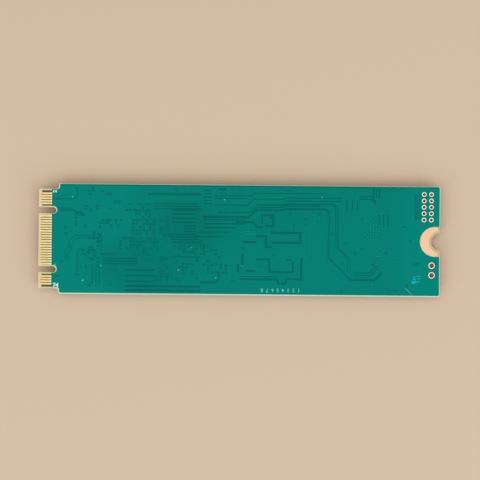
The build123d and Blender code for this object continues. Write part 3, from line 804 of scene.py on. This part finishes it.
@dataclass
class Board:
    """The board: its laminate, its masks and what lies in them. Places are from the card edge along the card
    and from its middle line across it."""

    finishes: Finishes
    single_outer: float = 0.34
    single_inner: float = 0.19
    field_outer: float = 0.23
    field_inner: float = 0.1
    far_inner: float = 0.14
    via_rise: float = 0.006
    via_sides: int = 10
    mark_rise: float = 0.004
    seed: int = 74
    fields: tuple[ViaField, ...] = (
        ViaField(11.9, 1.9, 1, 10, 0.82, 0.8), ViaField(12.3, 3.75, 5, 2, 0.52, 0.85),
        ViaField(15.4, 3.8, 4, 2, 0.55, 0.85), ViaField(19.5, 7.6, 5, 6, 0.62, 0.55),
        ViaField(17.6, 5.8, 3, 1, 0.68), ViaField(18.9, 3.8, 7, 5, 0.67, 0.75),
        ViaField(16.4, 0.2, 12, 4, 0.67, 0.72), ViaField(17.1, -2.4, 9, 2, 0.67, 0.4),
        ViaField(24.4, 4.3, 4, 6, 0.67, 0.45), ViaField(24.4, -3.8, 3, 8, 0.62, 0.6),
        ViaField(28.3, -1.2, 6, 3, 0.64, 0.75), ViaField(28.2, -4.2, 5, 5, 0.64, 0.55),
        ViaField(31.6, -2.0, 7, 5, 0.75, 0.3), ViaField(33.9, -5.1, 6, 3, 0.7, 0.5),
        ViaField(12.7, -3.0, 5, 1, 0.6, 0.8), ViaField(36.0, 10.1, 3, 1, 0.55),
        ViaField(36.4, -5.0, 2, 2, 0.6), ViaField(10.1, -1.7, 3, 5, 0.56, 0.55),
        ViaField(11.1, 2.4, 3, 5, 0.56, 0.4), ViaField(20.0, 5.6, 5, 4, 0.55, 0.35),
        ViaField(31.2, -0.4, 4, 6, 0.6, 0.3),
    )
    far_fields: tuple[ViaField, ...] = (
        ViaField(41.4, 1.75, 4, 2, 0.5), ViaField(48.35, 0.72, 4, 1, 0.84), ViaField(53.9, 1.5, 1, 5, 0.8),
        ViaField(53.2, -2.6, 3, 4, 0.88, 0.7), ViaField(54.9, 5.1, 1, 5, 0.8),
        ViaField(54.9, -3.2, 3, 1, 0.95), ViaField(65.1, 4.5, 3, 9, 0.52, 0.55),
        ViaField(67.4, -1.4, 3, 7, 0.54, 0.5), ViaField(70.2, -1.8, 2, 7, 0.58, 0.4),
        ViaField(62.8, -5.55, 6, 1, 0.6, 0.9), ViaField(66.75, 4.2, 3, 9, 0.54, 0.25),
        ViaField(70.9, -3.2, 2, 4, 0.72, 0.4), ViaField(73.4, 8.4, 3, 8, 0.58, 0.35),
    )
    single_vias: tuple[Place, ...] = (
        (5.41, 2.31), (5.43, 1.02), (4.67, -4.58), (13.64, 8.97), (14.24, 8.98), (38.6, -8.21),
        (61.21, -0.46), (63.13, -2.43), (69.3, -2.37), (64.51, -1.52), (74.05, 0.05), (60.57, -4.54),
        (66.75, -4.68), (74.75, -4.6), (75.5, -4.6), (73.5, -8.85), (10.88, 9.96), (10.4, 5.75), (47.0, 5.3),
        (50.1, 5.3), (56.0, 5.3), (53.2, 4.3), (53.1, 3.2), (58.5, 1.4), (40.7, -1.4), (46.9, -2.9),
        (14.6, -6.1), (15.35, -6.1), (14.3, -9.0), (60.4, -10.0),
    )
    # Short gaps in the copper: place, length along the card, and width across it.
    short_gaps: tuple[tuple[float, float, float, float], ...] = (
        (10.15, 9.5, 0.85, 0.28), (10.16, 8.94, 0.7, 0.28), (12.64, 9.52, 0.8, 0.28), (9.49, 6.61, 0.75, 0.3),
        (11.68, 6.63, 0.75, 0.3), (11.69, 6.14, 0.7, 0.2), (15.56, 7.56, 1.6, 0.22), (15.56, 7.16, 1.6, 0.22),
        (18.16, 6.99, 0.9, 0.22), (9.02, -2.32, 0.7, 0.4), (9.13, -3.02, 0.75, 0.4), (9.35, 2.64, 0.6, 0.2),
        (14.38, 6.06, 0.4, 0.3), (7.44, 3.1, 0.35, 1.1), (7.79, -7.1, 0.9, 0.22), (10.98, 9.47, 0.3, 0.25),
        (9.4, 6.02, 0.75, 0.2), (8.0, 5.2, 1.2, 0.26), (8.35, 5.84, 0.35, 0.3), (7.36, 4.8, 0.5, 0.26),
        (8.86, 4.72, 0.55, 0.28), (7.45, 4.2, 0.4, 0.4), (9.25, 2.27, 0.5, 0.18), (14.5, 2.75, 0.45, 0.18),
        (14.5, 2.3, 0.45, 0.18), (15.9, 2.75, 0.5, 0.18), (15.9, 2.3, 0.5, 0.18), (9.75, -2.7, 0.3, 0.35),
        (8.35, -3.1, 0.4, 0.25), (9.6, -3.4, 0.4, 0.3), (8.5, -5.4, 0.5, 0.2), (9.5, -5.5, 0.26, 0.7),
        (10.2, -9.3, 0.8, 0.35), (3.9, -7.4, 0.9, 0.22), (27.2, 10.1, 0.9, 0.15), (27.2, 9.5, 0.9, 0.15),
        (27.8, 9.8, 0.15, 0.5), (36.7, 9.35, 1.2, 0.15), (27.0, -1.35, 0.7, 0.2), (27.35, -1.8, 0.2, 0.6),
        (27.8, -1.75, 0.12, 1.3), (33.5, -1.3, 1.3, 0.18), (33.4, -2.3, 1.4, 0.18), (34.2, -1.8, 0.18, 0.7),
        (32.75, -1.8, 0.18, 0.7), (21.5, -3.9, 1.2, 0.18), (22.6, -4.4, 0.8, 0.22), (23.6, -7.4, 0.8, 0.26),
        (23.7, -8.1, 0.7, 0.26), (26.0, -7.0, 0.18, 1.2), (26.6, -7.0, 0.18, 1.8), (27.9, -7.7, 1.3, 0.14),
        (27.9, -8.1, 1.3, 0.14), (27.9, -8.5, 1.3, 0.14), (31.5, -7.7, 0.6, 0.4), (49.6, 10.0, 1.1, 0.22),
        (50.3, 9.75, 0.3, 0.25), (46.3, 4.5, 0.5, 0.45), (50.9, 3.0, 0.18, 1.0), (49.9, -3.85, 1.0, 0.26),
        (44.4, -5.2, 0.4, 0.2), (72.9, 2.9, 0.7, 0.26), (71.3, -9.7, 0.5, 0.26), (69.9, -9.9, 0.5, 0.26),
    )

    def dress(self) -> None:
        """Give the board's CAD nodes their finishes."""
        self.finishes.laminate.dress("board_laminate")
        self.finishes.back_mask.dress("solder_mask_back")
        self.finishes.chip_mask.dress("solder_mask_front")

    def face(self, side: Side) -> float:
        """Height of a mask's outer face, in metres."""
        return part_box("solder_mask_back")[1].z if side is Side.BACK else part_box("solder_mask_front")[0].z

    def spot(self, along: float, across: float, side: Side = Side.BACK) -> Vector:
        """The point in metres for a place on a mask."""
        return Vector((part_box("board_laminate")[0].x + along * MM, across * MM, self.face(side)))

    def laid(self, along: float, across: float, size: Stretch, turn: float = 0.0) -> Matrix:
        """The matrix that sizes a unit shape, turns it by some degrees and lays it on the back."""
        place = Matrix.Translation(self.spot(along, across)) @ Matrix.Rotation(math.radians(turn), 4, "Z")
        return place @ Matrix.Diagonal((*(Vector(size) * MM), 1.0))

    def field_places(self, fields: Iterable[ViaField]) -> list[Place]:
        """Pick the places of the vias in blocks, each clear of the ones before it and of the single vias.

        Args:
            fields: The blocks.

        Returns:
            Their places.
        """
        luck = random.Random(self.seed)
        kept = list(self.single_vias)
        for along, across in (place for block in fields for place in block.places(luck)):
            if all(math.hypot(along - x, across - y) > 2 * self.field_outer for x, y in kept):
                kept.append((along, across))
        return kept[len(self.single_vias) :]

    def add_domes(
        self, name: str, places: Iterable[Place], inner: float, outer: float, looks: list[Finish]
    ) -> None:
        """Close each via of a set with a low dome in a darker ring.

        Args:
            name: The new piece's name.
            places: Where the vias are.
            inner: Radius of a dome.
            outer: Radius of the ring round it.
            looks: The finishes of the rings and of the domes.
        """
        section = [(0.0, 0.0), (outer, 0.0), (inner, self.via_rise), (0.0, self.via_rise)]
        shape = turned([(radius * MM, height * MM) for radius, height in section], self.via_sides)
        for face in shape.faces:
            middle = face.calc_center_median()
            face.material_index = int(middle.xy.length < inner * MM and middle.z > 0.0)
        add_piece(name, stamped(shape, [self.spot(*place) for place in places]), looks)

    def add_vias(self) -> None:
        """Close the back's vias: large single ones, and blocks of small ones, fainter in the far half."""
        own = self.finishes
        large = [own.sunk_mask, own.back_mask]
        near, far = self.field_places(self.fields), self.field_places(self.far_fields)
        for name, places, inner, outer, looks in (
            ("single_vias", self.single_vias, self.single_inner, self.single_outer, large),
            ("field_vias", near, self.field_inner, self.field_outer, [own.via_ring, own.via_dome_highlight]),
            ("far_vias", far, self.far_inner, self.field_outer, [own.sunk_mask, own.via_dome_highlight]),
        ):
            self.add_domes(name, places, inner, outer, looks)

    def add_short_gaps(self) -> None:
        """Lay the short gaps of the copper on the back as thin darker strips."""
        shape = bmesh.new()
        for along, across, length, width in self.short_gaps:
            place = self.laid(along, across, (length, width, 2 * self.mark_rise))
            bmesh.ops.create_cube(shape, size=1.0, matrix=place)
        add_piece("short_copper_gaps", shape, [self.finishes.sunk_mask])


@dataclass
class CardEdge:
    """The gold contacts on both faces of the card edge."""

    finishes: Finishes
    edge_round: float = 0.012

    def dress(self) -> None:
        """Give the contacts their finish and take the sharpness off their edges."""
        for node in ("contacts_back", "contacts_front"):
            self.finishes.contact.dress(node)
            soften(node, self.edge_round)


@dataclass
class MountingEnd:
    """The copper round the notch and the plated holes on both sides of it."""

    finishes: Finishes
    hole_steps: int = 28
    lip: float = 0.02
    wall: float = 0.03
    plate: float = 0.04
    waist: float = 0.15
    waist_share: float = 0.3
    halo: float = 0.13
    halo_rise: float = 0.006

    def dress(self) -> None:
        """Give the copper round the notch its finish."""
        for node in ("mount_pad_back", "mount_pad_front"):
            self.finishes.pad.dress(node)
            soften(node, self.lip)

    def add_holes(self, node: str, name: str) -> None:
        """Make the round plated holes that stand for a CAD node's few-sided ones.

        Args:
            node: The CAD node of the plated holes.
            name: The new piece's name.
        """
        solids = solids_of(node)
        bore, ring = solids[0].inner, solids[0].outer
        half = solids[0].size.z / 2
        lip, wall, plate = self.lip * MM, bore + self.wall * MM, self.plate * MM
        # Solder drawn into a hole narrows it towards its middle.
        quarter = [
            (bore - self.waist * MM, half * self.waist_share), (bore, half - plate), (bore, half - lip),
            (bore + lip, half), (ring - lip, half), (ring, half - lip), (ring, half - plate),
            (wall, half - plate),
        ]
        mirrored = [(radius, -height) for radius, height in reversed(quarter)]
        hole = turned(quarter + mirrored, self.hole_steps)
        for face in hole.faces:
            middle = face.calc_center_median()
            face.material_index = int(middle.xy.length < wall and abs(middle.z) < half - lip)
        looks = [self.finishes.ring, self.finishes.bore]
        holes = stamped(hole, [solid.centre for solid in solids])
        piece = add_piece(name, holes, looks, smooth=True)
        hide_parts(node)
        edge = ring + self.halo * MM
        section = [(ring, 0.0), ((ring + edge) / 2, self.halo_rise * MM), (edge, 0.0)]
        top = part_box("solder_mask_back")[1].z
        spots = [Vector((solid.centre.x, solid.centre.y, top)) for solid in solids]
        rims = stamped(turned(section, self.hole_steps), spots)
        add_piece(f"{name}_mask_rims", rims, [self.finishes.sunk_mask])


@dataclass
class ChipSide:
    """The chips and small parts on the face that the card lies on."""

    finishes: Finishes
    chip_round: float = 0.05
    part_round: float = 0.03
    ball_steps: int = 12
    # Lower half of a ball, in shares of its radius and of half its height.
    ball_half: tuple[Place, ...] = ((0.0, 1.0), (0.72, 1.0), (0.95, 0.5), (1.0, 0.0))
    fillet_reach: float = 0.16
    fillet_share: float = 0.6
    # Section of a fillet, in shares of its reach and of its rise.
    fillet_section: tuple[Place, ...] = ((0.0, 0.0), (1.0, 0.0), (0.4, 0.2), (0.12, 0.55), (0.0, 1.0))
    packages: tuple[str, ...] = ("controller", "cache_memory", "flash_memory_1", "flash_memory_2")

    def dress(self) -> None:
        """Give the chips and small parts their finishes and round their edges."""
        own = self.finishes
        looks = {
            own.mould: self.packages,
            own.small_mould: ("power_regulator", "load_switch", "boot_memory"),
            own.solder: (
                "power_regulator_lands", "load_switch_lands", "boot_memory_lands", "coil_terminals",
                "bulk_capacitor_ends", "capacitor_ends", "resistor_ends",
            ),
            own.powder: ("coil_bodies",),
            own.capacitor: ("bulk_capacitor_bodies", "capacitor_bodies"),
            own.resistor: ("resistor_bodies",),
            own.crystal_base: ("clock_crystal_base",),
            own.crystal_lid: ("clock_crystal_lid",),
        }
        for finish, nodes in looks.items():
            for node in nodes:
                finish.dress(node)
                soften(node, self.chip_round if node in self.packages else self.part_round)

    def add_balls(self) -> None:
        """Put round solder balls under the packages, in place of the CAD posts."""
        for package in self.packages:
            node = f"{package}_balls"
            solids = solids_of(node)
            half = solids[0].size.z / 2
            radius = solids[0].size.x / 2
            lower = [(wide * radius, -deep * half) for wide, deep in self.ball_half]
            profile = lower + [(width, -height) for width, height in reversed(lower[:-1])]
            ball = turned(profile, self.ball_steps)
            balls = stamped(ball, [solid.centre for solid in solids])
            piece = add_piece(f"{package}_solder_balls", balls, [self.finishes.solder], smooth=True)
            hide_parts(node)

    def add_fillets(self, part: str) -> None:
        """Run a hollow solder fillet from each end cap of a kind of part to the board.

        Args:
            part: The start of the names of the part's CAD nodes.
        """
        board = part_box("solder_mask_front")[0].z
        middles = [solid.centre for solid in solids_of(f"{part}_bodies")]
        shape = bmesh.new()
        for cap in solids_of(f"{part}_ends"):
            body = min(middles, key=lambda middle: (middle - cap.centre).length)
            out = (cap.centre - body).xy.normalized()
            turn = Matrix.Rotation(math.atan2(out.y, out.x), 4, "Z")
            length, width = (cap.size.x, cap.size.y) if abs(out.x) > abs(out.y) else (cap.size.y, cap.size.x)
            rise = self.fillet_share * cap.size.z
            foot = Vector((cap.centre.x, cap.centre.y, board))
            place = Matrix.Translation(foot) @ turn @ Matrix.Translation((length / 2, -width / 2, 0.0))
            section = [
                place @ Vector((away * self.fillet_reach * MM, 0.0, -down * rise))
                for away, down in self.fillet_section
            ]
            side = shape.faces.new([shape.verts.new(point) for point in section])
            draw_out(shape, [side], turn @ Vector((0.0, width, 0.0)))
        bmesh.ops.recalc_face_normals(shape, faces=shape.faces)
        add_piece(f"{part}_fillets", shape, [self.finishes.solder])


@dataclass(frozen=True)
class Figure:
    """A number on the board: its place, its height, its turn in degrees, how bold it is as a share of the
    type's size, and how far it goes down from its face."""

    text: str
    along: float
    across: float
    height: float
    turn: float
    side: Side
    boldness: float = 0.03
    depth: float = 0.008


@dataclass
class Print:
    """The figures on the board: contact numbers and a row of layer numbers in white, and the header's pin
    numbers, left standing in the copper."""

    board: Board
    rise: float = 0.004
    curve_steps: int = 3
    contact_numbers: tuple[Figure, ...] = (
        Figure("2", 3.17, 9.4, 0.78, 90.0, Side.BACK),
        Figure("74", 3.5, -9.28, 0.9, 0.0, Side.BACK),
        Figure("1", 3.3, 9.3, 0.9, 0.0, Side.CHIPS),
        Figure("75", 3.5, -9.28, 0.9, 0.0, Side.CHIPS),
    )
    layer_count: int = 8
    layer_start: float = 44.6
    layer_pitch: float = 1.05
    layer_across: float = -9.95
    layer_height: float = 0.7
    pin_along: float = 75.4
    pin_height: float = 0.62
    pin_depth: float = 0.05

    def layer_numbers(self) -> list[Figure]:
        """The layer numbers in their row, which reads from the far end."""
        return [
            Figure(
                str(self.layer_count - index), self.layer_start + index * self.layer_pitch, self.layer_across,
                self.layer_height, turn=180.0, side=Side.BACK, boldness=0.0,
            )
            for index in range(self.layer_count)
        ]

    def pin_numbers(self) -> list[Figure]:
        """Place the odd pin numbers of the header, each beside its row.

        Returns:
            The numbers.
        """
        centres = [solid.centre for solid in solids_of("header_barrels")]
        column = max(centre.x for centre in centres)
        rows = sorted((centre.y / MM for centre in centres if column - centre.x < JOIN), reverse=True)
        return [
            Figure(
                str(2 * index + 1), self.pin_along, row, self.pin_height, turn=90.0, side=Side.BACK,
                boldness=0.0, depth=self.pin_depth,
            )
            for index, row in enumerate(rows)
        ]

    def lettered(self, figure: Figure) -> bpy.types.Mesh:
        """Cut one number as a flat shape about the origin.

        Args:
            figure: The number to cut.

        Returns:
            Its mesh, one unit high and one thick.
        """
        curve = bpy.data.curves.new("figure", "FONT")
        curve.body = figure.text
        curve.align_x = "CENTER"
        curve.align_y = "CENTER"
        curve.resolution_u = self.curve_steps
        curve.offset = figure.boldness
        curve.extrude = 0.5
        holder = in_scene("figure", curve)
        seen = holder.evaluated_get(bpy.context.evaluated_depsgraph_get())
        mesh = bpy.data.meshes.new_from_object(seen)
        bpy.data.objects.remove(holder)
        bpy.data.curves.remove(curve)
        tops = [vert.co.y for vert in mesh.vertices]
        sides = [vert.co.x for vert in mesh.vertices]
        middle = Vector((min(sides) + max(sides), min(tops) + max(tops), 0.0)) / 2
        tall = max(tops) - min(tops)
        mesh.transform(Matrix.Diagonal((1 / tall, 1 / tall, 1.0, 1.0)) @ Matrix.Translation(-middle))
        return mesh

    def add_figures(
        self, name: str, figures: Iterable[Figure], ink: Finish
    ) -> None:
        """Put a set of figures on the board.

        Args:
            name: The new piece's name.
            figures: The figures to put there.
            ink: Their finish.
        """
        shape = bmesh.new()
        for figure in figures:
            mesh = self.lettered(figure)
            size = Matrix.Diagonal((figure.height * MM, figure.height * MM, figure.depth * MM, 1.0))
            sunk = Matrix.Translation((0.0, 0.0, (self.rise - figure.depth / 2) * MM))
            flip = Matrix.Rotation(0.0 if figure.side is Side.BACK else math.pi, 4, "X")
            turn = Matrix.Rotation(math.radians(figure.turn), 4, "Z")
            spot = Matrix.Translation(self.board.spot(figure.along, figure.across, figure.side))
            mesh.transform(spot @ flip @ sunk @ turn @ size)
            shape.from_mesh(mesh)
            bpy.data.meshes.remove(mesh)
        bmesh.ops.remove_doubles(shape, verts=shape.verts, dist=JOIN)
        add_piece(name, shape, [ink])


@dataclass(frozen=True)
class Stroke:
    """A thin oval film on the back: its place, length, width and turn in degrees."""

    along: float
    across: float
    length: float
    width: float
    turn: float = 0.0


@dataclass
class Wear:
    """What use has left on the back: a dab of ink, a scratch and dust. Places are as on the board."""

    finishes: Finishes
    board: Board
    film: float = 0.003
    film_sides: int = 20
    scratch_from: Place = (72.96, -9.06)
    scratch_to: Place = (74.66, -10.8)
    scratch_width: float = 0.1
    strokes: tuple[Stroke, ...] = (
        Stroke(74.91, -8.17, 1.1, 0.44, 7.0), Stroke(74.57, -7.92, 0.75, 0.3, -8.0),
        Stroke(75.08, -7.78, 0.3, 0.42), Stroke(74.94, -7.47, 0.8, 0.27, 3.0),
        Stroke(74.97, -7.06, 0.5, 0.22, -6.0),
    )
    streaks: tuple[Stroke, ...] = (
        Stroke(75.75, -6.88, 1.0, 0.19), Stroke(75.75, -7.31, 0.95, 0.13),
        Stroke(75.66, -7.98, 0.9, 0.26, 3.0),
    )
    # Dust specks: place and radius.
    specks: tuple[tuple[float, float, float], ...] = (
        (6.74, 8.35, 0.11), (12.51, -5.27, 0.12), (8.9, -8.28, 0.15), (11.21, -8.95, 0.08),
        (36.99, 8.05, 0.12), (35.4, -7.58, 0.12), (30.43, -1.53, 0.08), (27.9, -6.02, 0.12),
        (56.4, 8.64, 0.1), (66.5, -8.55, 0.08), (3.38, -5.15, 0.14), (40.55, -5.1, 0.08), (43.0, -5.75, 0.06),
    )
    # A speck's height as a share of its radius, and how uneven it is.
    speck_rise: float = 0.12
    unevenness: float = 0.3
    seed: int = 5

    def films(self, strokes: Iterable[Stroke]) -> bmesh.types.BMesh:
        """Lay thin oval films on the back, each a little higher than the one before it.

        Args:
            strokes: The films.

        Returns:
            The films as one shape.
        """
        shape = bmesh.new()
        for layer, stroke in enumerate(strokes, start=1):
            size = (stroke.length / 2, stroke.width / 2, 1.0)
            place = self.board.laid(stroke.along, stroke.across, size, stroke.turn)
            ring = bmesh.ops.create_circle(
                shape, cap_ends=True, radius=1.0, segments=self.film_sides, matrix=place
            )
            faces = list({face for vert in ring["verts"] for face in vert.link_faces})
            draw_out(shape, faces, Vector((0.0, 0.0, layer * self.film * MM)))
        bmesh.ops.recalc_face_normals(shape, faces=shape.faces)
        return shape

    def add_ink(self) -> None:
        """Lay the ink dab and its thin streaks."""
        add_piece("ink_dab", self.films(self.strokes), [self.finishes.marker])
        add_piece("ink_streaks", self.films(self.streaks), [self.finishes.marker_streak])

    def add_scratch(self) -> None:
        """Lay the scratch as one long thin film."""
        start, end = Vector(self.scratch_from), Vector(self.scratch_to)
        run = end - start
        turn = math.degrees(math.atan2(run.y, run.x))
        stroke = Stroke(*((start + end) / 2), run.length, self.scratch_width, turn)
        add_piece("scratch", self.films([stroke]), [self.finishes.scratch])

    def add_dust(self) -> None:
        """Drop the dust specks, each a small uneven flake."""
        luck = random.Random(self.seed)
        shape = bmesh.new()
        for along, across, radius in self.specks:
            made = bmesh.ops.create_icosphere(shape, subdivisions=1, radius=1.0)
            for vert in made["verts"]:
                vert.co *= 1.0 + luck.uniform(-self.unevenness, self.unevenness)
            place = self.board.laid(along, across, (radius, radius, self.speck_rise * radius))
            bmesh.ops.transform(shape, matrix=place, verts=made["verts"])
        add_piece("dust_specks", shape, [self.finishes.dust])


@dataclass(frozen=True)
class Lamp:
    """A square soft lamp turned to the card: its place, its width, its power in watts and its colour."""

    name: str
    place: tuple[float, float, float]
    size: float
    power: float
    colour: str


@dataclass
class Studio:
    """The floor, the light and the camera."""

    floor_size: float = 3000.0
    floor: Finish = Finish("plain_floor_paper", "#D9C5B0", 0.9)
    sky_colour: str = "#FFF5E6"
    sky_strength: float = 0.58
    lamps: tuple[Lamp, ...] = (
        Lamp("ceiling_panel", (0.0, 0.0, 1000.0), 1400.0, 2.8, "#FFF9EE"),
        Lamp("left_softbox", (-450.0, -420.0, 340.0), 500.0, 1.2, "#E6F2FF"),
        Lamp("right_softbox", (450.0, -420.0, 340.0), 500.0, 1.75, "#E6F2FF"),
    )
    view_width: float = 95.61
    view_centre: Place = (0.155, 0.04)
    view_roll: float = 0.52
    view_distance: float = 480.0
    sensor: float = 36.0

    def add_floor(self) -> None:
        """Lay a plain pale floor under the chips."""
        shape = bmesh.new()
        bmesh.ops.create_grid(shape, x_segments=1, y_segments=1, size=self.floor_size * MM / 2)
        mesh = bpy.data.meshes.new("floor")
        shape.to_mesh(mesh)
        shape.free()
        mesh.materials.append(self.floor.material())
        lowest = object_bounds()[0].z
        floor = in_scene("floor", mesh)
        floor.location.z = lowest
        floor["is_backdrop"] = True

    def add_light(self) -> None:
        """Light the card softly from all round and above, and a little more from the front."""
        world = bpy.data.worlds.new("soft_sky")
        world.use_nodes = True
        sky = world.node_tree.nodes["Background"]
        sky.inputs["Color"].default_value = linear(self.sky_colour)
        sky.inputs["Strength"].default_value = self.sky_strength
        bpy.context.scene.world = world
        for lamp in self.lamps:
            light = bpy.data.lights.new(lamp.name, "AREA")
            light.shape = "SQUARE"
            light.size = lamp.size * MM
            light.energy = lamp.power
            light.color = linear(lamp.colour)[:3]
            holder = in_scene(lamp.name, light)
            holder.location = Vector(lamp.place) * MM
            holder.rotation_euler = (-holder.location).to_track_quat("-Z", "Y").to_euler()

    def add_camera(self) -> None:
        """Look straight down on the card."""
        data = bpy.data.cameras.new("camera")
        data.sensor_width = self.sensor
        data.lens = self.sensor * self.view_distance / self.view_width
        camera = in_scene("camera", data)
        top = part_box("solder_mask_back")[1].z
        across, up = self.view_centre
        camera.location = (across * MM, up * MM, top + self.view_distance * MM)
        camera.rotation_euler = (0.0, 0.0, math.radians(self.view_roll))
        bpy.context.scene.camera = camera


def main() -> None:
    """Load the frame, dress the card and set up the studio."""
    logging.basicConfig(level=logging.INFO, format="%(message)s")
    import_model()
    finishes = card_finishes()
    board = Board(finishes)
    board.dress()
    board.add_vias()
    board.add_short_gaps()
    CardEdge(finishes).dress()
    end = MountingEnd(finishes)
    end.dress()
    end.add_holes("header_barrels", "header_rings")
    end.add_holes("test_hole_barrels", "test_rings")
    chips = ChipSide(finishes)
    chips.dress()
    chips.add_balls()
    for part in ("capacitor", "bulk_capacitor", "resistor"):
        chips.add_fillets(part)
    figures = Print(board)
    figures.add_figures("printed_figures", figures.contact_numbers, finishes.print_white)
    figures.add_figures("layer_figures", figures.layer_numbers(), finishes.print_thin)
    figures.add_figures("pin_figures", figures.pin_numbers(), finishes.back_mask)
    wear = Wear(finishes, board)
    wear.add_ink()
    wear.add_scratch()
    wear.add_dust()
    studio = Studio()
    studio.add_floor()
    studio.add_light()
    studio.add_camera()
    bpy.context.scene.view_settings.view_transform = "Standard"


if __name__ == "__main__":
    main()
